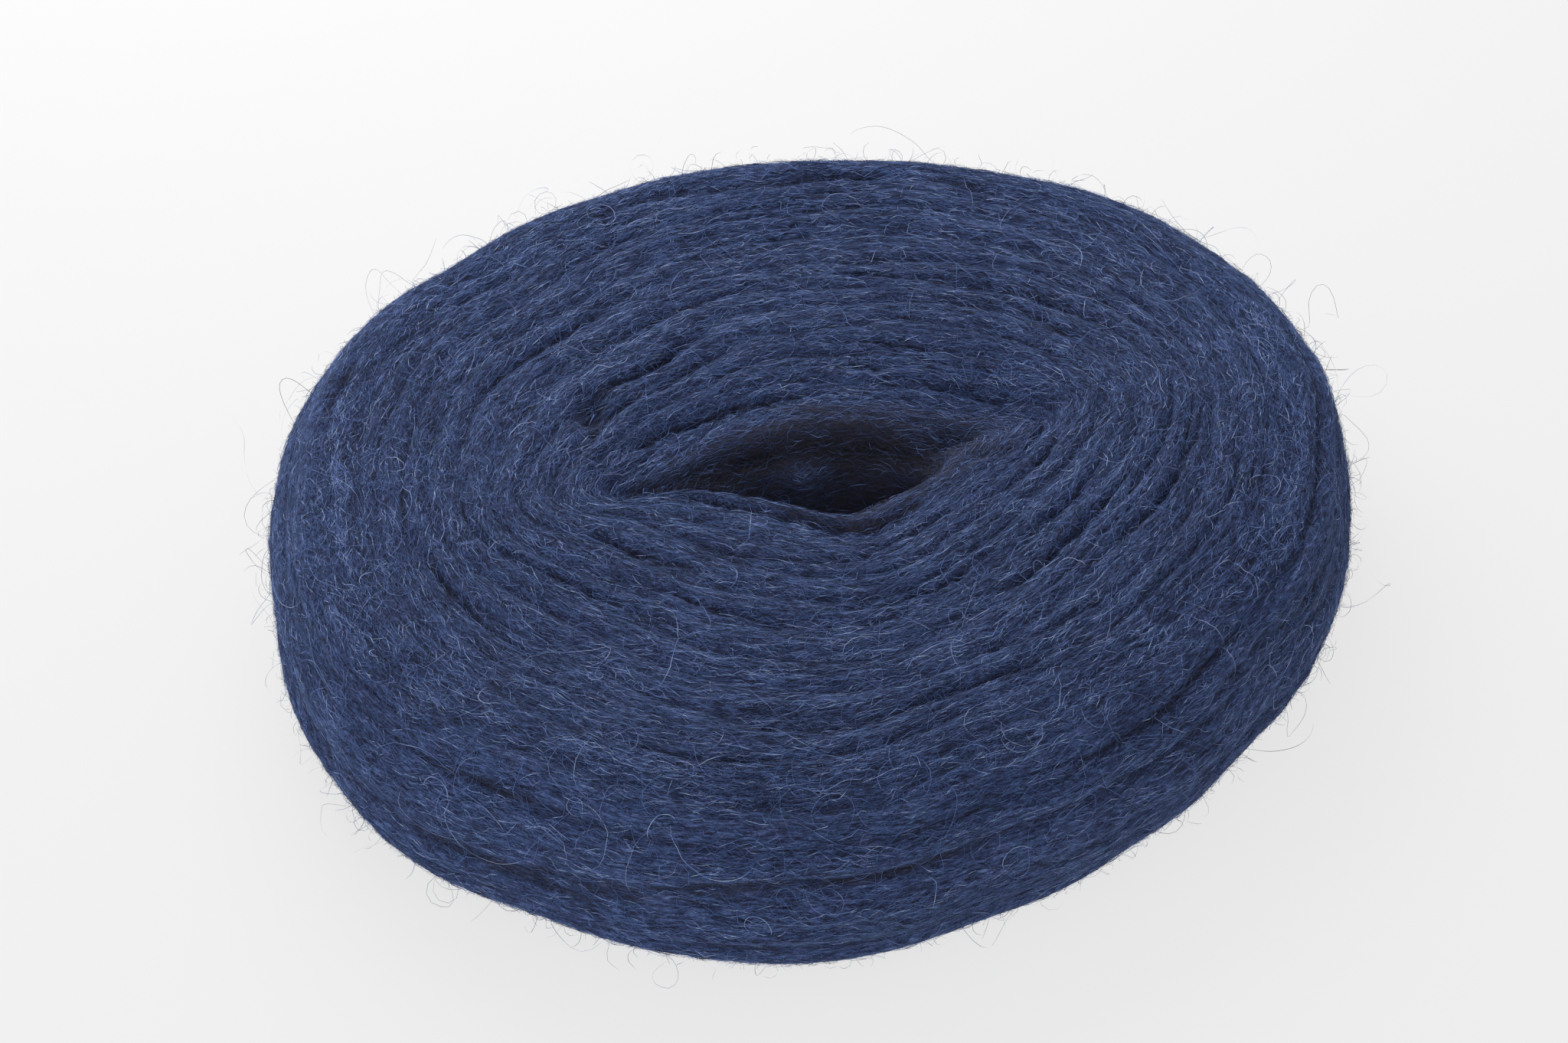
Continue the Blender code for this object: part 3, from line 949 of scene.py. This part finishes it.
def ribbon_mesh(name, track, facing, width, roll, tone):
    """Flat ribbons along the tracks, pointed at both ends."""
    count, stations = track.shape[:2]
    ahead = unit(np.gradient(track, axis=1) + 1e-12)
    side = unit(np.cross(facing, ahead))
    tilt = roll[:, None, None]
    side = side * np.cos(tilt) + np.cross(ahead, side) * np.sin(tilt)
    along = np.linspace(0.0, 1.0, stations)
    taper = TIP_WIDTH + (1.0 - TIP_WIDTH) * np.sin(math.pi * along) ** TAPER_POWER
    half = 0.5 * width[:, None, None] * taper[None, :, None]
    corners = np.stack((track - side * half, track + side * half), axis=2).reshape(-1, 3)
    corners[:, 2] = np.maximum(corners[:, 2], 0.0)
    base = np.arange(count)[:, None] * stations * 2 + np.arange(stations - 1)[None, :] * 2
    quads = np.stack((base, base + 1, base + 3, base + 2), axis=-1).reshape(-1, 4)
    low, high = np.broadcast_to(along[:-1], base.shape), np.broadcast_to(along[1:], base.shape)
    u = np.broadcast_to(tone[:, None], base.shape)
    ends = [np.stack((u, end), axis=-1) for end in (low, low, high, high)]
    flat_map = np.stack(ends, axis=2).reshape(-1, 2)
    return mesh_from_quads(name, corners, quads, flat_map)


# %% The fibres' material
FIBRE_TONES = (
    (0.00, (0.012, 0.012, 0.021)),
    (0.20, (0.018, 0.022, 0.050)),
    (0.40, (0.031, 0.047, 0.119)),
    (0.60, (0.053, 0.087, 0.220)),
    (0.80, (0.091, 0.146, 0.345)),
    (0.92, (0.148, 0.215, 0.455)),
    (1.00, (0.330, 0.400, 0.610)),
)
# Painted shade for the fibres in the hollow: their own tones, with greyer and lighter darks.
SHADED_TONES = (
    (0.00, (0.042, 0.038, 0.050)),
    (0.25, (0.044, 0.043, 0.064)),
    (0.50, (0.047, 0.062, 0.138)),
    (0.80, (0.080, 0.128, 0.300)),
    (0.95, (0.140, 0.205, 0.430)),
)
TONE_SCALE, FIBRE_SCALE = 90.0, 3.0
# Painted glints: the tone rises and falls along each fibre.
PAINTED_GLINT = dict(Size=1.0, Strength=0.5)
FIBRE_HUE_SIZE = 0.8


def fibre_material(name, tones):
    """Loose fibres: tone from across the flat map, tint from fibre to fibre, painted glints along."""
    material, tree, shader = new_material(name, WOOL_SURFACE)
    flat = add_node(tree, "ShaderNodeUVMap", uv_map="OFBake").outputs["UV"]
    stretched = dict(Vector=flat, Scale=(TONE_SCALE, FIBRE_SCALE, 1.0))
    place = add_node(tree, "ShaderNodeMapping", stretched).outputs["Vector"]
    split = add_node(tree, "ShaderNodeSeparateXYZ", {0: flat}).outputs
    tone = math_node(tree, "ADD", split["X"], place_group(tree, HEATHER, Place=place, **PAINTED_GLINT))
    wool = colour_ramp(tree, tone, tones)
    wool = place_group(tree, HUE, Wool=wool, Place=place, Size=FIBRE_HUE_SIZE)
    feed(tree, wool, shader["Base Color"])
    return material


FIBRE_MATERIAL = fibre_material("loose_wool_fibres", FIBRE_TONES)
# The fibres in the hollow take the painted shade tones.
SHADED_MATERIAL = fibre_material("fibres_in_the_hollow", SHADED_TONES)

# %% Lay the fibres
FIBRE_SEED = 7
FIBRE_BATCHES = (
    # name, count, steps, rows from, to, length_mm from, to, spread, curl, lift_mm, tip_mm, width_mm
    ("top_fibres_combed", 41000, 2, 0.0, 1.10, 2.5, 6.5, 0.13, 0.5, 0.30, 0.05, 0.115),
    ("top_fibres_matted", 36000, 2, 0.0, 1.15, 1.5, 4.0, 0.45, 0.9, 0.30, 0.15, 0.105),
    ("side_fibres", 38000, 2, 1.0, 2.0, 2.0, 5.5, 0.22, 0.6, 0.30, 0.08, 0.115),
    ("under_fibres", 3000, 2, 2.0, 3.4, 3.0, 7.0, 0.30, 0.6, 0.30, 0.0, 0.14),
    ("hollow_fibres", 17000, 2, 3.45, 4.0, 1.5, 4.5, 0.30, 0.7, 0.35, 0.15, 0.12),
    ("nap", 8000, 1, 0.0, 0.95, 0.8, 2.4, 1.20, 1.4, 0.30, 0.9, 0.11),
    ("rim_layers", 24000, 1, 1.02, 1.90, 1.2, 3.5, 0.35, 0.6, 0.80, 0.5, 0.15),
    ("rim_nap", 13000, 1, 1.02, 1.92, 0.6, 2.0, 1.00, 1.4, 0.50, 1.1, 0.12),
    ("lying_hairs", 4000, 4, 0.0, 2.0, 3.5, 9.0, 0.60, 2.4, 0.40, 0.35, 0.06),
    ("lying_loops", 1500, 11, 0.0, 1.7, 8.0, 26.0, 0.80, 4.5, 0.50, 0.6, 0.075),
)
PALE_PIECES = dict(
    lying_hairs=(0.55, 0.88), lying_loops=(0.75, 1.0), rim_layers=(0.20, 0.85), rim_nap=(0.30, 0.88),
)
# Painted light: the fibres on the side wall are made paler, for a brighter wall.
PAINTED_WALL_LIGHT = dict(side_fibres=0.10)
# At both ends of the hollow the turns bend sharply and the wool there is matted.
MATTED_ENDS = 0.8
FEWER_ON_LINES = 0.55
# Painted shade on the fibres: how dark they get on the lines and in deep places.
PAINTED_LINE_SHADE = 0.8
PAINTED_SUNK_SHADE = 0.85
LOCK_STRENGTH = 0.8
LINE_AT_GRID = strand_lines(ROW, ANGLE)


def fibre_batch(rng, count, steps, row_from, row_to, long_from, long_to, spread, curl, lift_mm, tip_mm):
    row, angle = scatter(rng, count, row_from, row_to, 1.0 - FEWER_ON_LINES * LINE_AT_GRID)
    length = rng.uniform(long_from, long_to, count) * MM
    matting = 1.0 + MATTED_ENDS * np.cos(angle) ** 4
    heading = rng.normal(0.0, spread, count) * matting + math.pi * (rng.random(count) < 0.5)
    bend = rng.normal(0.0, curl, count)
    stretch = np.maximum(sample_grid(metric, row, angle)[:, 0], LEAST_STRETCH)
    half_way = angle + 0.5 * length / stretch
    lock = lock_tone(row, half_way)
    lift = (0.04 + lift_mm * rng.random(count) ** 1.7 * (1.0 + lock)) * MM
    tip_lift = tip_mm * MM * rng.random(count)
    track, facing, sunk = lay_fibres(rng, row, angle, length, heading, bend, lift, tip_lift, steps)
    # Painted shade on the fibres that lie on a line between strands.
    sunk = np.maximum(sunk, PAINTED_LINE_SHADE * strand_lines(row, half_way))
    return track, facing, sunk, lock


rng = np.random.default_rng(FIBRE_SEED)
for name, count, steps, *shape, width_mm in FIBRE_BATCHES:
    track, facing, sunk, lock = fibre_batch(rng, count, steps, *shape)
    if name in PALE_PIECES:
        tone = rng.uniform(*PALE_PIECES[name], count)
    else:
        tone = rng.beta(1.2, 1.4, count) + LOCK_STRENGTH * lock + PAINTED_WALL_LIGHT.get(name, 0.0)
    # Painted shade: each fibre's tone is darkened by the shade it lies in.
    tone = np.clip(tone * (1.0 - PAINTED_SUNK_SHADE * sunk), 0.02, 0.98)
    width = width_mm * MM * rng.uniform(0.6, 1.3, count)
    roll = rng.normal(0.0, 0.5, count)
    mesh = ribbon_mesh(name, track, facing, width, roll, tone)
    place_piece(name, mesh, SHADED_MATERIAL if name == "hollow_fibres" else FIBRE_MATERIAL)
    triangles_made += 2 * count * steps
    print(name, 2 * count * steps, "triangles")

# %% [markdown]
# ## Single hairs that catch the eye
#
# A few pale hairs can be seen one by one, as hooks, loops and straight lines on the front
# and the right. Chance would put them elsewhere, so these are listed: each starts at
# a row and an angle, heads its own way and turns evenly as it goes.

# %% Lay the single hairs
SINGLE_HAIRS = (
    # row, angle_deg, length_mm, heading_deg from the winding, turn_deg
    (0.90, 164, 8, -20, 200),
    (0.98, 186, 5, 40, -120),
    (1.08, 198, 4, 10, -160),
    (0.94, 212, 9, 20, -130),
    (1.36, 213, 8, 0, 170),
    (1.38, 216, 22, 15, -150),
    (1.28, 237, 8, -30, 200),
    (1.22, 239, 20, 15, -130),
    (0.99, 240, 10, -10, 60),
    (1.53, 247, 9, 0, 260),
    (1.05, 252, 11, 0, 10),
    (0.67, 270, 10, 10, 90),
    (1.22, 295, 9, 60, -60),
    (0.56, 300, 6, 0, 300),
    (0.60, 302, 7, 45, 120),
    (1.05, 309, 13, 105, 25),
    (1.45, 312, 9, -20, 220),
    (1.50, 315, 12, 40, -160),
    (1.02, 317, 7, 0, 150),
    (1.38, 317, 11, 120, -140),
    (1.55, 320, 10, -60, 180),
    (1.02, 321, 10, 130, 30),
    (1.42, 322, 8, 90, 120),
    (0.95, 333, 11, -150, 40),
    (1.03, 335, 13, -80, -170),
    (0.60, 20, 9, 10, 140),
    (0.66, 64, 10, -20, 90),
    (0.42, 122, 8, 20, 120),
    (0.43, 152, 8, 30, -120),
)
SINGLE_STEPS = 14
SINGLE_SEED = 11

row, angle, length, heading, turn = np.array(SINGLE_HAIRS, dtype=float).T
angle, heading, turn = np.radians(angle), np.radians(heading), np.radians(turn)
rng = np.random.default_rng(SINGLE_SEED)
lift = rng.uniform(0.4, 0.9, len(row)) * MM
track, facing, _ = lay_fibres(rng, row, angle, length * MM, heading, turn, lift, lift, SINGLE_STEPS)
width = rng.uniform(0.09, 0.13, len(row)) * MM
tone = rng.uniform(0.96, 1.0, len(row))
mesh = ribbon_mesh("single_hairs", track, facing, width, np.zeros(len(row)), tone)
place_piece("single_hairs", mesh, FIBRE_MATERIAL)
triangles_made += 2 * len(mesh.polygons)
print("single hairs", len(row))

# %% [markdown]
# ## Hairs that stand off the wool
#
# Against the light ground the plate has a halo: short hooks all along its outline, and a
# few long hairs that loop. A hair is a narrow ribbon, turned at random. It leaves the wool
# at a slant and turns with a radius of a few millimetres about an axis that itself wanders,
# which gives the loose loops of carded wool rather than the even coils of a spring.

# %% Grow the hairs
HAIR_SEED = 21
ROOM_BESIDE = 0.0072
ROOM_ABOVE = 0.0085
ROOT_DEPTH = 0.0002
STRAY = 0.35
REACH = 0.006
PULL_BACK = 0.25


def grow_hairs(rng, row, angle, length, radius_of_turn, steps):
    here = sample_grid(carpet, row, angle)
    ahead = sample_grid(carpet, row, angle + 0.02)
    place, up = here[:, 0:3], unit(here[:, 3:6])
    along = unit(ahead[:, 0:3] - place) * np.where(rng.random(len(row)) < 0.5, 1.0, -1.0)[:, None]
    slant = rng.uniform(0.1, 0.9, len(row))[:, None]
    heading = unit(along * np.cos(slant) + up * np.sin(slant) + STRAY * rng.normal(size=place.shape))
    axis = unit(rng.normal(size=place.shape))
    pace = length / steps
    track = [place - up * ROOT_DEPTH]
    for _ in range(steps):
        axis = unit(axis + STRAY * rng.normal(size=place.shape))
        turn = (pace / radius_of_turn)[:, None]
        heading = unit(heading + np.cross(axis, heading) * turn)
        off_wool = np.sum((track[-1] - place) * up, axis=-1, keepdims=True)
        heading = unit(heading - up * np.clip(off_wool / REACH, -1.0, 1.0) * PULL_BACK)
        track.append(track[-1] + heading * pace[:, None])
    track = np.stack(track, axis=1)
    low, high = np.array(CAD_BOX[0]) - ROOM_BESIDE, np.array(CAD_BOX[1]) + ROOM_BESIDE
    low[2], high[2] = ROOT_DEPTH, CAD_BOX[1][2] + ROOM_ABOVE
    inside = np.all((track > low) & (track < high), axis=(1, 2))
    return track[inside]


rng = np.random.default_rng(HAIR_SEED)
HAIR_BATCHES = (
    # name, count, steps, length_mm from, to, turn_mm from, to, rows from, to
    ("rim_fuzz", 4000, 5, 2.0, 8.0, 0.9, 3.0, 0.85, 1.97),
    ("long_hairs", 420, 18, 10.0, 36.0, 2.0, 7.0, 0.8, 1.97),
    ("top_hairs", 350, 10, 6.0, 16.0, 2.0, 6.0, 0.0, 1.0),
)
for name, count, steps, long_from, long_to, turn_from, turn_to, row_from, row_to in HAIR_BATCHES:
    row, angle = scatter(rng, count, row_from, row_to)
    length = rng.uniform(long_from, long_to, count) * MM
    radius_of_turn = rng.uniform(turn_from, turn_to, count) * MM
    track = grow_hairs(rng, row, angle, length, radius_of_turn, steps)
    thickness = rng.uniform(0.05, 0.08, len(track)) * MM
    tone = rng.uniform(0.25, 0.8, len(track))
    facing = unit(rng.normal(size=(len(track), 1, 3))) + np.zeros_like(track)
    mesh = ribbon_mesh(name, track, facing, thickness, np.zeros(len(track)), tone)
    place_piece(name, mesh, FIBRE_MATERIAL)
    triangles_made += 2 * len(mesh.polygons)
    print(name, len(track), "hairs", 2 * len(mesh.polygons), "triangles")
print("triangles in all", triangles_made)

# %% [markdown]
# ## Floor, light and camera
#
# The photograph has a white paper ground, lit so evenly that the plate casts hardly a
# shadow. A white floor under strong lamps would throw too much light up at the wool. So the
# paper here glows by itself and takes only a faint shade, the sky is even, one near lamp
# behind the plate gives the light along its back, and a low one on the left lifts the wall
# there. The camera stands at the photograph's height, with a long lens.

# %% Set the stage
FLOOR_SIZE = 30.0
FLOOR_TONE = (0.13, 0.13, 0.13)
FLOOR_GLOW = 0.735
SKY_STRENGTH = 0.66
PAPER_SURFACE = {
    "Base Color": (*FLOOR_TONE, 1.0),
    "Roughness": 0.9,
    "Specular IOR Level": 0.0,
    "Emission Color": WHITE,
    "Emission Strength": FLOOR_GLOW,
}

bpy.ops.mesh.primitive_plane_add(size=FLOOR_SIZE)
floor = bpy.context.object
floor.name = "paper_floor"
floor.data.materials.append(new_material("pale_paper", PAPER_SURFACE)[0])

world = bpy.data.worlds.new("soft_room")
bpy.context.scene.world = world
world.use_nodes = True
sky = world.node_tree.nodes["Background"].inputs
sky["Color"].default_value = WHITE
sky["Strength"].default_value = SKY_STRENGTH
bpy.context.scene.view_settings.view_transform = "Standard"

# %% The camera and the lamps
CAMERA_AZIMUTH = math.radians(-17.0)
CAMERA_ELEVATION = math.radians(40.0)
CAMERA_DISTANCE = 1.0
SENSOR = 36.0
PHOTO_WIDTH = 2048.0
SCALE_AT_PLATE = 0.1475 * MM
# how far the plate's middle lies from the picture's, in the photograph's pixels
PLATE_RIGHT_OF_MIDDLE = 33.8
PLATE_BELOW_MIDDLE = 8.9

right = np.array([math.cos(CAMERA_AZIMUTH), math.sin(CAMERA_AZIMUTH), 0.0])
back = np.array([
    math.sin(CAMERA_AZIMUTH) * math.cos(CAMERA_ELEVATION),
    -math.cos(CAMERA_AZIMUTH) * math.cos(CAMERA_ELEVATION),
    math.sin(CAMERA_ELEVATION),
])
up = np.cross(back, right)


def aimed(thing, toward_camera):
    """Turns a camera or lamp so that it looks along minus toward_camera."""
    z = unit(toward_camera)
    x = unit(np.cross(np.array([0.0, 0.0, 1.0]), z))
    y = np.cross(z, x)
    turn = Matrix(np.stack((x, y, z), axis=1).tolist())
    thing.rotation_euler = turn.to_euler()


plate_middle = np.array([-middle[0], -middle[1], 0.5 * THICKNESS])
target = plate_middle - right * PLATE_RIGHT_OF_MIDDLE * SCALE_AT_PLATE
target = target + up * PLATE_BELOW_MIDDLE * SCALE_AT_PLATE
lens = bpy.data.cameras.new("photo_camera")
lens.sensor_width = SENSOR
lens.lens = CAMERA_DISTANCE / SCALE_AT_PLATE * SENSOR / PHOTO_WIDTH
camera = new_object("photo_camera", lens)
camera.location = (target + back * CAMERA_DISTANCE).tolist()
aimed(camera, back)
bpy.context.scene.camera = camera

LAMPS = (
    # name, place, size, power
    ("window_light", (-0.03, 0.39, 0.29), 0.45, 2.5),
    ("left_reflector", (-0.68, -0.34, 0.07), 0.5, 2.5),
)
for name, lamp_place, size, power in LAMPS:
    light = bpy.data.lights.new(name, "AREA")
    light.size = size
    light.energy = power
    lamp = new_object(name, light)
    lamp.location = lamp_place
    aimed(lamp, np.array(lamp_place))
print("camera lens", round(lens.lens, 1), "mm at", CAMERA_DISTANCE, "m")
